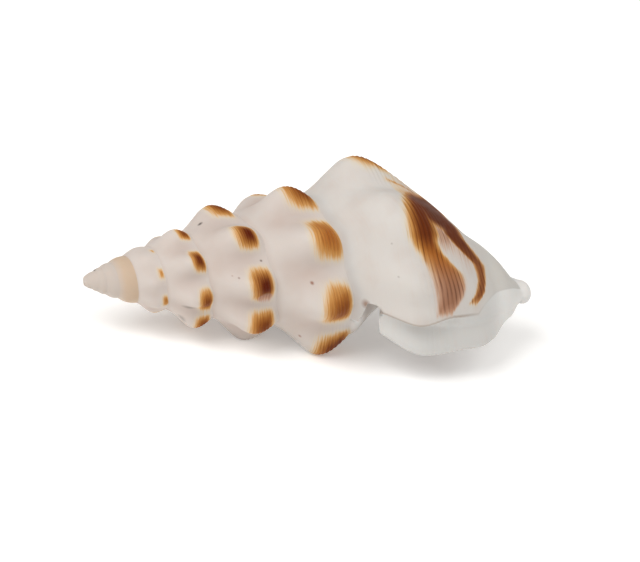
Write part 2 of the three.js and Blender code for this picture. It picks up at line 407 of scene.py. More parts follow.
# %% Spots seen on the back
# Rib number, degrees that the spot is off its rib, half its width in degrees, the two levels between
# which it lies, and its darkness
SEEN_SPOTS = (
    (-26, -17, 9, 0.8, 1.02, 0.0),
    (-25, -15, 13, 0.74, 1.0, 0.1),
    (-24, -8, 14, 0.78, 1.02, 0.4),
    (-20, 5, 11, 0.62, 0.96, 0.7),
    (-19, -3, 17, 0.64, 0.98, 0.9),
    (-18, 7, 22, 0.66, 0.99, 0.7),
    (-17, -2, 14, 0.6, 0.96, 0.7),
    (-14, 6, 16, 0.5, 0.92, 0.8),
    (-13, 1, 15, 0.52, 0.93, 1.0),
    (-12, 2, 20, 0.55, 0.97, 1.0),
    (-11, -3, 15, 0.52, 0.94, 0.75),
    (-10, 10, 11, 0.54, 0.93, 0.6),
    (-8, 1, 14, 0.55, 0.9, 0.6),
    (-7, 2, 16, 0.53, 1.0, 0.7),
    (-6, -2, 20, 0.56, 1.02, 0.2),
    (-5, 4, 22, 0.54, 1.0, 0.6),
    (-4, -5, 15, 0.5, 1.02, 0.85),
    (-1, -5, 18, 0.55, 0.98, 0.85),
)
spots = {number: row for number, *row in SEEN_SPOTS}
print(len(spots), "spots seen")

# %% Spots on the far side
# The far side isn't seen, so its spots differ from the usual one by a few plain waves
SPOT_HALF = 16
SPOT_TOP = 0.54
SPOT_END = 0.97
SPOT_DARK = 0.65
for number in range(-23, -1):
    off = 3 * math.sin(2.1 * number)
    half = SPOT_HALF + 4 * math.sin(1.7 * number)
    top = SPOT_TOP + 0.04 * math.sin(3.3 * number)
    end = SPOT_END + 0.03 * math.sin(2.7 * number)
    dark = SPOT_DARK + 0.25 * math.sin(1.3 * number)
    spots.setdefault(number, (off, half, top, end, dark))
print(len(spots), "spots on all sides")

# %% Field of the spots
SPOT_CORE = 0.7
SPOT_SQUARENESS = 4
# Spots on the first ribs are faint; they reach their full strength over these ribs
FAINT_SPOT = -0.12
FAINT_RIB = -29
RIBS_TO_FULL = 8


def rib_degrees(number):
    """Where the crest of a rib is, in degrees."""
    if number >= -BODY_RIBS:
        even = LAST_BODY_RIB + number * RIB_SPACING_BODY
    else:
        even = LAST_SPIRE_RIB + (number + BODY_RIBS) * RIB_SPACING_SPIRE
    deg = even
    for _ in range(8):
        deg += even - float(even_degrees(deg))
    return deg


def spot_field(deg, v):
    """Strength and darkness of the spots."""
    strength = np.full(np.shape(deg), -1.0)
    darkness = np.zeros(np.shape(deg))
    for number, (off, half, top, end, dark) in spots.items():
        core = mix(top, end, SPOT_CORE)
        along = np.where(v < core, (core - v) / (core - top), (v - core) / (end - core))
        across = np.abs(deg - rib_degrees(number) - off) / half
        here = 1 - (across**SPOT_SQUARENESS + along**SPOT_SQUARENESS) ** (1 / SPOT_SQUARENESS)
        here = mix(FAINT_SPOT, here, np.clip((number - FAINT_RIB) / RIBS_TO_FULL, 0, 1))
        darkness = np.where(here > strength, dark, darkness)
        strength = np.maximum(strength, here)
    return strength, darkness


sample = spot_field(np.array([rib_degrees(-12)]), np.array([0.84]))[0]
print("strength in the middle of a spot:", sample.round(2))

# %% Paths of the two bands
# Each band is drawn through a few points: degrees, and the levels of its two edges
UPPER_BAND = (
    (-64, 0.99, 1.12),
    (-60, 0.965, 1.17),
    (-36, 0.755, 1.07),
    (-24, 0.65, 1.03),
    (-16, 0.605, 1.02),
    (-11, 0.61, 0.985),
    (-6, 0.645, 1.01),
    (-1, 0.7, 1.1),
    (4, 0.75, 1.19),
    (8, 0.775, 1.2),
    (15, 0.785, 1.17),
    (20, 0.785, 1.13),
    (25, 0.785, 1.06),
    (32, 0.775, 0.95),
)
LOWER_BAND = (
    (-66, 1.2, 1.45),
    (-39, 1.13, 1.41),
    (-28, 1.09, 1.39),
    (-21, 1.07, 1.48),
    (-16, 1.145, 1.53),
    (-12.5, 1.24, 1.55),
    (-8, 1.36, 1.54),
    (-1, 1.375, 1.515),
    (6, 1.36, 1.49),
    (14, 1.3, 1.435),
    (19, 1.245, 1.38),
    (25, 1.165, 1.295),
)


def band_edges(deg, path):
    steps, upper_edges, lower_edges = zip(*path)
    return np.interp(deg, steps, upper_edges), np.interp(deg, steps, lower_edges)


print("at -15 degrees the upper band lies between", [round(x, 2) for x in band_edges(-15.0, UPPER_BAND)])

# %% Fades of the bands
# Fades are in levels at the sides of a band, and in degrees at its ends
SLOW_FADE = 0.23
QUICK_FADE = 0.1
LOWER_FADE = 0.19
BANDS_START = -57
START_LEAN = 50
START_FADE = 12
GOLDEN_START = 18
GOLDEN_FADE = 60
GOLDEN_STRENGTH = 0.12
UPPER_ENDS = 32
LOWER_ENDS = 26
END_FADE = 10


def band_start(deg, v):
    """The bands begin with a faint golden part, sooner on the base than on the shoulder."""
    wobble = 2 * np.sin(9 * v) + 1.2 * np.sin(23 * v)
    since = deg - BANDS_START + START_LEAN * np.clip(v - 1, -0.2, 0.35) - wobble
    golden = np.minimum(GOLDEN_STRENGTH, (since + GOLDEN_START) / GOLDEN_FADE)
    return np.maximum(since / START_FADE, golden)


def band_field(deg, v, path, upper_fade, ends):
    """Strength of one band, which thickens from its two edges and its two ends."""
    upper_edge, lower_edge = band_edges(deg, path)
    width = lower_edge - upper_edge
    from_upper = (v - upper_edge) / np.minimum(upper_fade, 0.55 * width)
    from_lower = (lower_edge - v) / np.minimum(LOWER_FADE, 0.35 * width)
    from_ends = np.minimum(band_start(deg, v), (ends - deg) / END_FADE)
    return np.minimum(np.minimum(from_upper, from_lower), np.minimum(from_ends, 1))


sample = band_field(np.array([-15.0]), np.array([0.8]), UPPER_BAND, SLOW_FADE, UPPER_ENDS)
print("strength in the middle of the upper band:", sample.round(2))

# %% Where the bands are still one, the veil between them and a thin line before them
JOIN_TOP = 0.88
JOIN_END = 1.4
JOIN_FADE = 0.12
JOIN_UNTIL = -20
JOIN_PARTS = 8
VEIL = 0.45
VEIL_EDGE = 0.05
BARE = -0.2
LINE_AT = -63
LINE_HALF_WIDTH = 2
LINE_STRENGTH = 0.36


def join_field(deg, v):
    """The dark patch that the two bands start from."""
    from_sides = np.minimum(v - JOIN_TOP, JOIN_END - v) / JOIN_FADE
    from_ends = np.minimum((JOIN_UNTIL - deg) / JOIN_PARTS, band_start(deg, v))
    return np.minimum(np.minimum(from_sides, from_ends), 1)


def veil_field(deg, v):
    """A rosy veil in the gap between the bands, which thins as they part."""
    upper_edge, lower_edge = band_edges(deg, UPPER_BAND)[1], band_edges(deg, LOWER_BAND)[0]
    inside = np.minimum(v - upper_edge, lower_edge - v) / VEIL_EDGE + 1
    thins = ease(-60, -40, deg) * (1 - ease(-22, 8, deg))
    return VEIL * np.clip(inside, 0, 1) * thins + BARE


def line_field(deg, v):
    """A thin golden line across the shoulder, just before the bands."""
    across = 1 - np.abs(deg - LINE_AT) / LINE_HALF_WIDTH
    along = np.minimum((v - 0.8) / 0.12, (1.2 - v) / 0.05)
    return LINE_STRENGTH * np.minimum(across, along)


print("veil between the bands:", veil_field(np.array([-15.0]), np.array([1.06])).round(2))

# %% Looks of the bands and the skirt of the new lip
BAND_DARK = 0.88
LOWER_PURPLE = 0.2
SKIRT_REACH = 65
SKIRT_WIDENS = 1.3


def band_looks(deg, v, on_upper):
    """Darkness and purple tint of the bands: they start dark, and the upper one ends rosy."""
    upper_dark = BAND_DARK - 0.75 * ease(-14, 0, deg)
    lower_dark = BAND_DARK - 0.35 * ease(-22, -6, deg)
    upper_purple = 0.85 * ease(-5, 17, deg)
    join_purple = 0.5 * swell(1.1, 0.12, v) * (1 - ease(-30, -12, deg))
    purple = np.maximum(np.where(on_upper, upper_purple, LOWER_PURPLE), join_purple)
    return np.where(on_upper, upper_dark, lower_dark), purple


def skirt_edge(v):
    """The skirt starts at the older lip, and near the canal it reaches further back."""
    return old_lip_angle(v) - SKIRT_REACH * np.maximum(0, v - SKIRT_WIDENS)


print("the skirt starts at", skirt_edge(np.array([0.5, 1.0, 1.5])).round(1), "degrees")

# %% All markings together
VEIL_PURPLE = 0.9
WORN_AT = (-688, 0.81)
WORN_HALF = (8, 0.13)


def markings(t, v):
    """Strength of the brown, darkness, purple tint, and the grey skirt of the new lip."""
    deg = degrees_at(t)
    strength, darkness = spot_field(deg, v)
    upper = band_field(deg, v, UPPER_BAND, SLOW_FADE, UPPER_ENDS)
    lower = band_field(deg, v, LOWER_BAND, QUICK_FADE, LOWER_ENDS)
    bands = np.maximum(np.maximum(upper, lower), np.maximum(join_field(deg, v), line_field(deg, v)))
    band_dark, band_purple = band_looks(deg, v, upper > lower)
    veil = veil_field(deg, v)
    band_purple = np.where(veil > bands, VEIL_PURPLE, band_purple)
    bands = np.maximum(bands, veil)
    on_band = bands > strength
    darkness = np.where(on_band, band_dark, darkness)
    purple = np.where(on_band, band_purple, 0)
    strength = np.maximum(strength, bands)
    # One spot of the spire is worn, so it is rosy and pale in the middle
    worn = np.hypot((deg - WORN_AT[0]) / WORN_HALF[0], (v - WORN_AT[1]) / WORN_HALF[1])
    purple = np.maximum(purple, 1 - ease(0.8, 1.1, worn))
    darkness = darkness * mix(0.3, 1, ease(0.7, 1.2, worn))
    skirt = ease(-1, 5, deg - skirt_edge(v)) * ease(0.2, 0.3, v)
    return np.stack((strength, darkness, purple, skirt), -1)


print("middle of the dark band:", markings(growth_at(np.array([-15.0])), np.array([0.77])).round(2))

# %% Rosy tint and painted shade in the hollows


def rosy_tint_and_painted_shade(t, v):
    """Hollows between the ribs and along the seam: a little rosy tint, partly painted shade."""
    off_seams = np.sin(np.pi * np.clip(v / 0.95, 0, 1))
    between = relief(t) * (1 - rib(t, v)) * off_seams * (1 - ease(-0.4, -0.3, t))
    by_seam = 0.5 * (1 - ease(0.0, 0.1, v)) * ease(-5, -4, t)
    return np.maximum(between, by_seam)


# The printed value is the rosy tint and painted shade between two ribs
print("dirt between two ribs:", round(float(rosy_tint_and_painted_shade(growth_at(rib_degrees(-9.5)), 0.5)), 2))

# %% [markdown]
# ## Shell mesh
# The shell is thin but closed: an outer skin, a hollow mouth and a rounded edge between them. Each skin
# is a flat grid from Blender, laid onto the growth rules, which a lattice or a screw modifier can't do
# because both the size and the profile change on the way. Neighbouring grids share their edge points
# exactly, so merging doubles closes the seams. Each corner keeps its own growth and level, because two
# whorls meet at a seam with different levels.

# %% Steps of the grids
# Degrees where the steps get finer, first on the back and then at the lip
BACK_FROM = -75
LIP_FROM = 27
far_steps = np.linspace(LIP_ANGLE - 360, BACK_FROM, 49)[:-1]
back_steps = np.concatenate((far_steps, np.linspace(BACK_FROM, LIP_FROM, 61)[:-1]))
lip_steps = np.linspace(LIP_FROM, LIP_ANGLE, 25)[:-1]
turn_steps = growth_at(np.concatenate((back_steps, lip_steps)))
last_whorl = np.append(turn_steps, 0.0)
FACE_LEVELS = np.linspace(0, 1, 101)
YOUNG_LEVELS = np.linspace(0, 1, 26)
BASE_LEVELS = np.linspace(1, 2, 81)
YOUNG_END = -4.0
young_whorls = np.append(np.concatenate([turn_steps - k for k in (7, 6, 5, 4)]), YOUNG_END)
late_whorls = np.append(np.concatenate([turn_steps - k for k in (3, 2, 1, 0)]), 0.0)
print(len(young_whorls) + len(late_whorls), "growth steps")

# %% A grid laid onto the growth rules
shell_mesh = bmesh.new()
growth_layer = shell_mesh.loops.layers.uv.new("growth")
marks_layer = shell_mesh.loops.layers.float_color.new("markings")
# Per corner: the rosy tint of the hollows, partly painted shade
tint_and_shade_layer = shell_mesh.loops.layers.float.new("rosy_tint_and_painted_shade")
NO_MARKS = (-1.0, 0.0, 0.0, 0.0)
# Levels past 2 tell the material that a skin is bare
CANAL = 2.5
INSIDE = 3.0


def lay_grid(rows, columns, shape, bare_level=None):
    """A flat grid whose points go to shape(row, column), with the brown markings unless it is bare."""
    row_gaps, column_gaps = len(rows) - 1, len(columns) - 1
    made = bmesh.ops.create_grid(shell_mesh, x_segments=row_gaps, y_segments=column_gaps, size=0.5)
    points = made["verts"]
    flat = np.array([point.co[:2] for point in points]) + 0.5
    i = np.rint(flat[:, 0] * row_gaps).astype(int)
    j = np.rint(flat[:, 1] * column_gaps).astype(int)
    row, column = rows[i], columns[j]
    for point, spot in zip(points, shape(row, column)):
        point.co = spot
    if bare_level is None:
        grown = lip_growth(row, column)
        corner_growth = np.stack((grown, column), -1)
        corner_marks = markings(grown, column)
        corner_tint_and_shade = rosy_tint_and_painted_shade(grown, column)
    else:
        corner_growth = np.stack((row, np.full(len(row), bare_level)), -1)
        corner_marks = np.tile(NO_MARKS, (len(row), 1))
        corner_tint_and_shade = np.zeros(len(row))
    order = {point: k for k, point in enumerate(points)}
    for face in {face for point in points for face in point.link_faces}:
        for corner in face.loops:
            k = order[corner.vert]
            corner[growth_layer].uv = corner_growth[k]
            corner[marks_layer] = corner_marks[k]
            corner[tint_and_shade_layer] = corner_tint_and_shade[k]
    return points


# %% Outer skin
young = lay_grid(young_whorls, YOUNG_LEVELS, outer)
late = lay_grid(late_whorls, FACE_LEVELS, outer)
base = lay_grid(last_whorl, BASE_LEVELS, outer)
print(len(young) + len(late) + len(base), "points on the outer skin")

# %% Match the coarse grid of the first whorls to the fine one: each edge of its last row becomes four
young_end = outer(np.full(len(YOUNG_LEVELS), YOUNG_END), YOUNG_LEVELS)
end_points = {point for point in young if np.abs(young_end - np.array(point.co)).sum(1).min() < 1e-4}
end_edges = [edge for edge in shell_mesh.edges if set(edge.verts) <= end_points]
bmesh.ops.subdivide_edges(shell_mesh, edges=end_edges, cuts=3)
print(len(end_edges), "edges divided")

# %% Pillar and rounded end of the canal
TIP_RING_U = 24.9
MOUTH_END = BASE_END_LAST - LIP_WALL
pillar_steps = np.linspace(BASE_END_FIRST, MOUTH_END, 13)
pillar_levels = np.concatenate((pillar_steps, (BASE_END_LAST, TIP_RING_U)))


def pillar_skin(t, u):
    return on_pillar(t, np.maximum(u, base_end(t)))


def canal_end(t, k):
    u = TIP_RING_U + (TIP_U - TIP_RING_U) * np.sin(0.5 * np.pi * k)
    return place(u, TIP_R * np.cos(0.5 * np.pi * k), t)


lay_grid(last_whorl, pillar_levels, pillar_skin, CANAL)
lay_grid(last_whorl, np.linspace(0, 1, 9), canal_end, CANAL)
print("pillar and canal added")

# %% [markdown]
# ## Mouth
# The mouth is the hollow that the animal lived in. It follows the last whorl inwards behind a wall of
# half a millimetre, which thins to an edge at the lip. A Solidify modifier would give the whole shell
# one thickness and fold over in the narrow spire, so the mouth is its own grid: a closed loop along the
# inside of the wall, back down the pillar and over the base of the whorl before.

# %% Hollow of the mouth
MOUTH_DEPTH = 0.8
FIRST_WALL = 7
LAST_WALL = 65
wall_levels = np.concatenate((FACE_LEVELS[FIRST_WALL:], BASE_LEVELS[1 : LAST_WALL + 1]))
floor_levels = BASE_LEVELS[1:-1][::-1]
mouth_steps = np.concatenate((back_steps[::2], lip_steps, [LIP_ANGLE]))
mouth_rows = growth_at(mouth_steps)
mouth_rows = mouth_rows[mouth_rows >= -MOUTH_DEPTH]
loop_size = len(wall_levels) + len(pillar_steps) + len(floor_levels)


def mouth_skin(t, index):
    """Point number index of the loop at growth t."""
    k = np.rint(index).astype(int) % loop_size
    first_pillar = len(wall_levels)
    first_floor = first_pillar + len(pillar_steps)
    wall_point = inner(t, wall_levels[np.clip(k, 0, first_pillar - 1)])
    down_pillar = np.clip((k - first_pillar) / (len(pillar_steps) - 1), 0, 1)
    end = mix(base_end(t) - WALL, MOUTH_END, ease(WALL_THINS, 0, t))
    pillar_point = on_pillar(t, mix(end, base_end(t - 1), down_pillar))
    floor_point = outer(t - 1, floor_levels[np.clip(k - first_floor, 0, len(floor_levels) - 1)])
    points = np.where((k < first_floor)[:, None], pillar_point, floor_point)
    return np.where((k < first_pillar)[:, None], wall_point, points)


lay_grid(mouth_rows, np.arange(loop_size + 1.0), mouth_skin, INSIDE)
print("the mouth's loop has", loop_size, "points")

# %% Rounded edge of the lip
EDGE_BULGE = 0.4
edge_levels = np.concatenate((FACE_LEVELS, BASE_LEVELS[1:]))
round_steps = np.linspace(0, 1, 5)


def lip_edge(k, v):
    """From the inside of the wall, at k 0, to the outside, at k 1."""
    t = np.zeros(len(v))
    outside = outer(t, v)
    inside = inner(t, np.clip(v, wall_levels[0], wall_levels[-1]))
    inside[v == 0] = outer(np.array([-1.0]), BASE_LEVELS[1:2])
    inside[v == 2] = on_pillar(np.array([0.0]), np.array([MOUTH_END]))
    ahead = outside - outer(t - 0.004, v)
    ahead /= np.linalg.norm(ahead, axis=1)[:, None]
    thick = np.minimum(np.linalg.norm(outside - inside, axis=1), LIP_WALL)
    bulge = ahead * (EDGE_BULGE * thick * np.sin(np.pi * k))[:, None]
    rounded = inside + (outside - inside) * k[:, None] + bulge
    at_end = ((v == 0) | (v == 2)) & (k > 0)
    rounded[at_end] = outside[at_end]
    return rounded


lay_grid(round_steps, edge_levels, lip_edge, CANAL)
print("lip edge added")

# %% Close the seams, the tip of the spire and the blind end of the mouth
NEAR_TIP = 3
SPIRE_TIP = (0.03, 0, 0)
MERGE_WITHIN = 0.002
# Each ring that rounds the tip is the ring before it, scaled along and across the axis
TIP_RINGS = ((0.62, 0.86), (0.3, 0.62), (0.5, 0.5))
bmesh.ops.remove_doubles(shell_mesh, verts=shell_mesh.verts, dist=MERGE_WITHIN)
bmesh.ops.dissolve_degenerate(shell_mesh, dist=1e-5, edges=shell_mesh.edges)


def open_edges(near_tip):
    edges = [edge for edge in shell_mesh.edges if edge.is_boundary]
    return [edge for edge in edges if (edge.verts[0].co.x < NEAR_TIP) == near_tip]


tip_edges = open_edges(True)
for along, across in TIP_RINGS:
    grown = bmesh.ops.extrude_edge_only(shell_mesh, edges=tip_edges)["geom"]
    ring = [item for item in grown if isinstance(item, bmesh.types.BMVert)]
    tip_edges = [item for item in grown if isinstance(item, bmesh.types.BMEdge)]
    for face in [item for item in grown if isinstance(item, bmesh.types.BMFace)]:
        for corner in face.loops:
            corner[growth_layer].uv = (-WHORLS, 0.5)
            corner[marks_layer] = NO_MARKS
    bmesh.ops.scale(shell_mesh, vec=(along, across, across), verts=ring)
bmesh.ops.pointmerge(shell_mesh, verts=ring, merge_co=SPIRE_TIP)
bmesh.ops.holes_fill(shell_mesh, edges=open_edges(False), sides=0)
bmesh.ops.recalc_face_normals(shell_mesh, faces=shell_mesh.faces)
print(sum(edge.is_boundary for edge in shell_mesh.edges), "open edges left")

# %% Lay it down and cut the small level spots
bmesh.ops.transform(shell_mesh, matrix=rest, verts=shell_mesh.verts)
everything = shell_mesh.verts[:] + shell_mesh.edges[:] + shell_mesh.faces[:]
bmesh.ops.bisect_plane(
    shell_mesh,
    geom=everything,
    dist=1e-8,
    plane_co=(0, 0, 0),
    plane_no=(0, 0, 1),
    clear_inner=True,
)
cut_edges = [edge for edge in shell_mesh.edges if edge.is_boundary]
bmesh.ops.holes_fill(shell_mesh, edges=cut_edges, sides=0)
bmesh.ops.triangulate(shell_mesh, faces=[face for face in shell_mesh.faces if len(face.verts) > 4])
print(sum(edge.is_boundary for edge in shell_mesh.edges), "open edges;", len(shell_mesh.faces), "faces")

# %% Shell object
shell_data = bpy.data.meshes.new("shell_skin")
shell_mesh.to_mesh(shell_data)
shell_mesh.free()
for face in shell_data.polygons:
    face.use_smooth = True
shell = bpy.data.objects.new("shell_skin", shell_data)
bpy.context.scene.collection.objects.link(shell)
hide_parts("shell")
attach(shell, "root")
shell_data.calc_loop_triangles()
print(len(shell_data.loop_triangles), "triangles")

# %% [markdown]
# ## Shell material
# The shell is aragonite with a porcelain-like, satin surface: hard, pale and a little translucent, so
# light goes in and softens the shading. The brown lies inside the mineral, with golden edges where it is
# thin. An image texture would need a seam somewhere, so the pattern is read from the growth and level of
# each corner and follows every rib and seam.

# %% Colours and one function that adds a node


def linear(code):
    """Turns an sRGB hex colour into the linear values that shaders use."""
    parts = [int(code[i : i + 2], 16) / 255 for i in (1, 3, 5)]
    return [x / 12.92 if x <= 0.04045 else ((x + 0.055) / 1.055) ** 2.4 for x in parts] + [1.0]


def add(tree, kind, inputs=(), **settings):
    """Adds a node with its settings; an input is a value or another node's output."""
    node = tree.nodes.new("ShaderNode" + kind)
    for name, value in settings.items():
        setattr(node, name, value)
    for socket, value in dict(inputs).items():
        if isinstance(value, bpy.types.NodeSocket):
            tree.links.new(value, node.inputs[socket])
        else:
            node.inputs[socket].default_value = value
    return node


# %% Aragonite: growth, markings and noise that the colours use
aragonite = bpy.data.materials.new("aragonite_satin_natural")
aragonite.use_nodes = True
tree = aragonite.node_tree
tree.nodes.clear()

growth = add(tree, "UVMap", uv_map="growth")
growth_parts = add(tree, "SeparateXYZ", {0: growth.outputs[0]})
whorl, level = growth_parts.outputs[0], growth_parts.outputs[1]
marks = add(tree, "Attribute", attribute_name="markings", attribute_type="GEOMETRY")
mark_parts = add(tree, "SeparateColor", {0: marks.outputs["Color"]})
brown, dark, purple = mark_parts.outputs[0], mark_parts.outputs[1], mark_parts.outputs[2]
skirt = marks.outputs["Alpha"]
# Rosy tint and painted shade of the hollows, from the mesh
hollow_tint_and_shade = add(tree, "Attribute", attribute_name="rosy_tint_and_painted_shade", attribute_type="GEOMETRY").outputs["Fac"]
coordinates = add(tree, "TexCoord").outputs["Object"]

# Streaks about 0.1 mm wide and 1.3 mm long on the last whorl, which run as the threads do
streak_space = add(tree, "VectorMath", {0: growth.outputs[0], 1: (22, 55, 1)}, operation="MULTIPLY")
streaks = add(tree, "TexNoise", {"Vector": streak_space.outputs[0], "Scale": 1.0, "Detail": 3.0})
# Soft clouds 1.5 mm wide
clouds = add(tree, "TexNoise", {"Vector": coordinates, "Scale": 1 / 0.0015, "Detail": 2.0})
print("pattern inputs ready")

# %% Brown of the spots and bands
wander = add(tree, "MapRange", {0: streaks.outputs["Fac"], 1: 0.3, 2: 0.7, 3: -0.1, 4: 0.1})
drift = add(tree, "MapRange", {0: clouds.outputs["Fac"], 1: 0.3, 2: 0.7, 3: -0.05, 4: 0.05})
rough_edge = add(tree, "Math", {0: wander.outputs[0], 1: drift.outputs[0]}, operation="ADD")
strength = add(tree, "Math", {0: brown, 1: rough_edge.outputs[0]}, operation="ADD")
# From thin to thick brown, at these strengths
THICKNESSES = (0.0, 0.1, 0.26, 0.5, 0.82)
BROWNS = ("#d2c4ac", "#d4b78a", "#c69355", "#b67838", "#ad692a")
ROSY_BROWNS = ("#c8b4a8", "#c2a08c", "#b68f79", "#aa806a", "#a2775f")
ramps = []
for codes in (BROWNS, ROSY_BROWNS):
    ramp = add(tree, "ValToRGB", {0: strength.outputs[0]})
    stops = ramp.color_ramp.elements
    while len(stops) < len(codes):
        stops.new(1.0)
    for stop, position, code in zip(stops, THICKNESSES, codes):
        stop.position = position
        stop.color = linear(code)
    ramps.append(ramp.outputs[0])
tone = add(tree, "Mix", {0: purple, 6: ramps[0], 7: ramps[1]}, data_type="RGBA")
SOFT = {"interpolation_type": "SMOOTHSTEP"}
shown = add(tree, "MapRange", {0: strength.outputs[0], 1: -0.22, 2: 0.32}, **SOFT)
deep = add(tree, "MapRange", {0: strength.outputs[0], 1: 0.15, 2: 0.9}, **SOFT)
deep_dark = add(tree, "Math", {0: deep.outputs[0], 1: dark}, operation="MULTIPLY")
dark_tone = add(tree, "Mix", {0: purple, 6: linear("#581a00"), 7: linear("#34140a")}, data_type="RGBA")
tinted = add(
    tree,
    "Mix",
    {0: deep_dark.outputs[0], 6: tone.outputs[2], 7: dark_tone.outputs[2]},
    data_type="RGBA",
)
print("brown ready")

# %% Lines in the brown: the grooves between the threads hold a little more of it
groove_phase = add(tree, "Math", {0: level, 1: 2 * math.pi * THREADS}, operation="MULTIPLY")
groove_wave = add(tree, "Math", {0: groove_phase.outputs[0]}, operation="COSINE")
groove = add(tree, "MapRange", {0: groove_wave.outputs[0], 1: 0.2, 2: -1.0, 3: 0.0, 4: 1.0})
streak_strong = add(tree, "MapRange", {0: streaks.outputs["Fac"], 1: 0.4, 2: 0.65, 3: 0.15, 4: 0.65})
groove_lines = add(
    tree,
    "Math",
    {0: groove.outputs[0], 1: streak_strong.outputs[0]},
    operation="MULTIPLY",
)
thick_enough = add(tree, "MapRange", {0: strength.outputs[0], 1: 0.0, 2: 0.45})
on_last_whorl = add(tree, "MapRange", {0: whorl, 1: -0.45, 2: -0.3, 3: 0.35, 4: 1.0})
line_strong = add(
    tree,
    "Math",
    {0: thick_enough.outputs[0], 1: on_last_whorl.outputs[0]},
    operation="MULTIPLY",
)
groove_brown = add(
    tree,
    "Math",
    {0: groove_lines.outputs[0], 1: line_strong.outputs[0]},
    operation="MULTIPLY",
)
lined = add(
    tree,
    "Mix",
    {0: groove_brown.outputs[0], 6: tinted.outputs[2], 7: linear("#451800")},
    data_type="RGBA",
)
print("lines ready")

# %% Pale ground: a little rosier on the spire, with rosy tint and painted shade in the hollows
older = add(tree, "MapRange", {0: whorl, 1: -1.4, 2: -0.5, 3: 0.1, 4: 0.9})
paler = add(tree, "Math", {0: older.outputs[0], 1: drift.outputs[0]}, operation="ADD")
clean = add(
    tree,
    "Mix",
    {0: paler.outputs[0], 6: linear("#c8beb7"), 7: linear("#cac6c1")},
    data_type="RGBA",
)
stains = add(tree, "MapRange", {0: clouds.outputs["Fac"], 1: 0.45, 2: 0.75, 3: 0.0, 4: 0.22})
# The hollows get half the rosy tone as tint and painted shade, on top of the random stains
stains_tint_and_shade = add(tree, "Math", {0: hollow_tint_and_shade, 1: 0.5, 2: stains.outputs[0]}, operation="MULTIPLY_ADD")
ground = add(
    tree,
    "Mix",
    {0: stains_tint_and_shade.outputs[0], 6: clean.outputs[2], 7: linear("#b5a298")},
    data_type="RGBA",
)
print("ground ready")

# %% First whorls, which grew in the egg: creamy, and beige before the arc that ends them
first_whorls = add(tree, "MapRange", {0: whorl, 1: -4.6, 2: -4.85}, **SOFT)
late_in_egg = add(tree, "MapRange", {0: whorl, 1: -6.0, 2: -5.3}, **SOFT)
near_arc = add(tree, "MapRange", {0: level, 1: -0.2, 2: 0.5}, **SOFT)
beige = add(tree, "Math", {0: late_in_egg.outputs[0], 1: near_arc.outputs[0]}, operation="MULTIPLY")
egg_tone = add(
    tree,
    "Mix",
    {0: beige.outputs[0], 6: linear("#c0b5ac"), 7: linear("#c0aa94")},
    data_type="RGBA",
)
with_egg = add(
    tree,
    "Mix",
    {0: first_whorls.outputs[0], 6: ground.outputs[2], 7: egg_tone.outputs[2]},
    data_type="RGBA",
)
print("first whorls ready")

# %% End of the base, canal and mouth
# The canal and the edge of the lip are the whitest; deeper in, the mouth is rosy, partly its own tint
# and partly painted shade
base_end_grey = add(tree, "MapRange", {0: level, 1: 1.3, 2: 1.75}, **SOFT)
with_base = add(
    tree,
    "Mix",
    {0: base_end_grey.outputs[0], 6: with_egg.outputs[2], 7: linear("#c6c3bd")},
    data_type="RGBA",
)
white_edge = add(tree, "MapRange", {0: level, 1: 2.2, 2: 2.4})
mouth_depth = add(tree, "MapRange", {0: whorl, 1: 0.0, 2: -0.12}, **SOFT)
mouth_inside = add(tree, "MapRange", {0: level, 1: 2.7, 2: 2.9})
# Painted shade: rosy brown deeper in the mouth, which also darkens the pit seen through the slit
rosy_shaded_mouth = add(
    tree,
    "Math",
    {0: mouth_depth.outputs[0], 1: mouth_inside.outputs[0]},
    operation="MULTIPLY",
)
bare_tone = add(
    tree,
    "Mix",
    {0: rosy_shaded_mouth.outputs[0], 6: linear("#d9d7d4"), 7: linear("#b08f7f")},
    data_type="RGBA",
)
with_bare = add(
    tree,
    "Mix",
    {0: white_edge.outputs[0], 6: with_base.outputs[2], 7: bare_tone.outputs[2]},
    data_type="RGBA",
)
print("canal and mouth ready")

# %% Skirt of the new lip: grey-white past a thin line, whiter by the canal
line_fades = add(tree, "MapRange", {0: level, 1: 1.05, 2: 1.4})
line_tone = add(
    tree,
    "Mix",
    {0: line_fades.outputs[0], 6: linear("#a3968c"), 7: linear("#c3c0bb")},
    data_type="RGBA",
)
by_canal = add(tree, "MapRange", {0: level, 1: 1.4, 2: 1.75}, **SOFT)
clean_skirt = add(
    tree,
    "Mix",
    {0: by_canal.outputs[0], 6: linear("#c8c7c4"), 7: linear("#dad9d6")},
    data_type="RGBA",
)
past_line = add(tree, "MapRange", {0: skirt, 1: 0.15, 2: 0.5})
skirt_tone = add(
    tree,
    "Mix",
    {0: past_line.outputs[0], 6: line_tone.outputs[2], 7: clean_skirt.outputs[2]},
    data_type="RGBA",
)
skirt_shown = add(tree, "MapRange", {0: skirt, 1: 0.0, 2: 0.14})
with_skirt = add(
    tree,
    "Mix",
    {0: skirt_shown.outputs[0], 6: with_bare.outputs[2], 7: skirt_tone.outputs[2]},
    data_type="RGBA",
)
with_brown = add(
    tree,
    "Mix",
    {0: shown.outputs[0], 6: with_skirt.outputs[2], 7: lined.outputs[2]},
    data_type="RGBA",
)
print("skirt and brown laid over the ground")
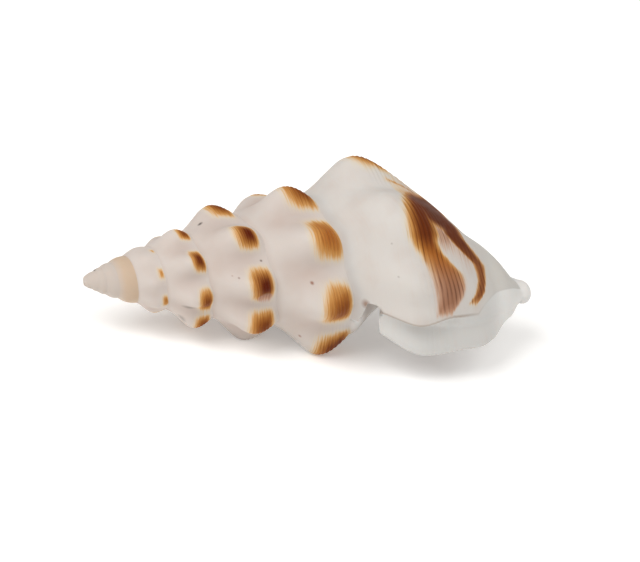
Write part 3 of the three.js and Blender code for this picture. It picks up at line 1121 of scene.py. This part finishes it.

# %% [markdown]
# ## Specks and surface
# A shell that has lain in the sea has small brown pits, some grey dirt in the hollows, and here a white
# callus pad beside the slit of the lip, painted near white as painted light where the lip shades it. The
# dark pit at the inner end of the slit is painted shade. A random scatter would put them anywhere, so
# each one is a soft dot at its own growth and level. The surface is satin: growth lines and grain are
# finer than the mesh, so they are a faint bump that only breaks up the light.

# %% Specks, grime, painted shade in the slit and the white pad in painted light
# Each one: degrees, level, half its length in degrees, half its width in levels, strength, colour
SPECKS = (
    (-343.6, 0.467, 1.9, 0.035, 0.85, "#84513a"),
    (-283, 0.336, 1.7, 0.03, 0.7, "#84513a"),
    (-793, 0.28, 2.5, 0.06, 0.9, "#4c4642"),
    (-711, 0.44, 1.4, 0.025, 0.6, "#6e4a38"),
    (-713, 0.35, 1.1, 0.02, 0.5, "#96705c"),
    (-726, 0.88, 1.7, 0.03, 0.8, "#5c463a"),
    (-7, 0.46, 0.8, 0.014, 0.35, "#6e5a50"),
    (12, 0.46, 0.8, 0.014, 0.35, "#6e5a50"),
    (-1026, 0.47, 5, 0.2, 0.6, "#6f6962"),
    (-1003, 0.345, 5, 0.12, 0.5, "#6f6962"),
    (-2605, 0.1, 24, 0.35, 0.8, "#5a5550"),
    # Painted shade: the dark pit at the inner end of the slit, a little brown-pink
    (35.5, 0.11, 5, 0.05, 0.8, "#8c6a58"),
    # Painted light: the white callus pad, brighter than the shell where the lip shades it
    (-292, 1.15, 17, 0.14, 1.0, "#f1efec"),
)
coloured = with_brown.outputs[2]
for deg, at_level, length, width, seen, code in SPECKS:
    from_speck = add(
        tree,
        "VectorMath",
        {0: growth.outputs[0], 1: (growth_at(deg), at_level, 0)},
        operation="SUBTRACT",
    )
    stretched = add(
        tree,
        "VectorMath",
        {0: from_speck.outputs[0], 1: (360 / length, 1 / width, 0)},
        operation="MULTIPLY",
    )
    away = add(tree, "VectorMath", {0: stretched.outputs[0]}, operation="LENGTH")
    dot = add(tree, "MapRange", {0: away.outputs["Value"], 1: 1.0, 2: 0.2, 3: 0.0, 4: seen})
    coloured = add(
        tree,
        "Mix",
        {0: dot.outputs[0], 6: coloured, 7: linear(code)},
        data_type="RGBA",
    ).outputs[2]
print(len(SPECKS), "specks")

# %% Satin surface with fine growth lines across the threads
# Growth lines 0.15 mm apart, each the edge of the lip at one time, and grain of 0.3 mm
line_space = add(tree, "VectorMath", {0: growth.outputs[0], 1: (170, 2.5, 1)}, operation="MULTIPLY")
growth_lines = add(tree, "TexNoise", {"Vector": line_space.outputs[0], "Scale": 1.0, "Detail": 2.0})
grain = add(tree, "TexNoise", {"Vector": coordinates, "Scale": 1 / 0.0003, "Detail": 3.0})
fine = add(tree, "Math", {0: growth_lines.outputs["Fac"], 1: grain.outputs["Fac"]}, operation="ADD")
bump = add(tree, "Bump", {"Height": fine.outputs[0], "Strength": 0.25, "Distance": 0.00002})
satin = add(tree, "MapRange", {0: grain.outputs["Fac"], 1: 0.3, 2: 0.7, 3: 0.5, 4: 0.65})
surface = add(
    tree,
    "BsdfPrincipled",
    {
        "Base Color": coloured,
        "Roughness": satin.outputs[0],
        "IOR": 1.6,
        "Specular IOR Level": 0.07,
        "Subsurface Weight": 0.3,
        "Subsurface Radius": (1.0, 0.75, 0.6),
        "Subsurface Scale": 0.0003,
        "Normal": bump.outputs[0],
    },
)
add(tree, "OutputMaterial", {"Surface": surface.outputs[0]})
shell_data.materials.append(aragonite)
print(len(tree.nodes), "nodes in the shell's material")

# %% [markdown]
# ## Stage
# The photograph has a plain white background and soft light from the front, so the stage is a pale matt
# board with a large soft lamp over the camera's left shoulder, a weaker one on the right and an even
# sky. The board also glows a little, as a light table does. That keeps the shadow as pale as the
# photograph's white ground needs; a brighter sky would do it too, but it would flatten the shell.

# %% Floor
board_mesh = bmesh.new()
bmesh.ops.create_grid(board_mesh, x_segments=1, y_segments=1, size=0.6)
board_data = bpy.data.meshes.new("floor")
board_mesh.to_mesh(board_data)
board_mesh.free()
floor = bpy.data.objects.new("floor", board_data)
bpy.context.scene.collection.objects.link(floor)
board = bpy.data.materials.new("matt_white_board")
board.use_nodes = True
board_surface = board.node_tree.nodes["Principled BSDF"]
board_surface.inputs["Base Color"].default_value = linear("#fbfbfa")
board_surface.inputs["Roughness"].default_value = 0.9
board_surface.inputs["Emission Color"].default_value = linear("#ffffff")
board_surface.inputs["Emission Strength"].default_value = 0.2
board_data.materials.append(board)
print("floor laid")

# %% Lights
# The standard transform keeps white paper white, as the photograph does
bpy.context.scene.view_settings.view_transform = "Standard"
sky = bpy.data.worlds.new("even_sky")
sky.use_nodes = True
sky.node_tree.nodes["Background"].inputs["Color"].default_value = linear("#fffaf5")
sky.node_tree.nodes["Background"].inputs["Strength"].default_value = 0.36
bpy.context.scene.world = sky
# Each lamp: metres beside, above and before the shell as the camera sees it, its size and its watts
LAMPS = {"key": (-0.12, 0.18, 0.26, 0.2, 0.8), "fill": (0.2, 0.16, 0.16, 0.25, 0.33)}
for name, (beside, above, before, size, power) in LAMPS.items():
    lamp = bpy.data.objects.new(name, bpy.data.lights.new(name, "AREA"))
    lamp.data.size = size
    lamp.data.energy = power
    spot = axes[0] * beside + axes[1] * above + axes[2] * before
    lamp.matrix_world = Matrix.Translation(spot) @ spot.to_track_quat("Z", "Y").to_matrix().to_4x4()
    bpy.context.scene.collection.objects.link(lamp)
print(len(LAMPS), "lamps set")
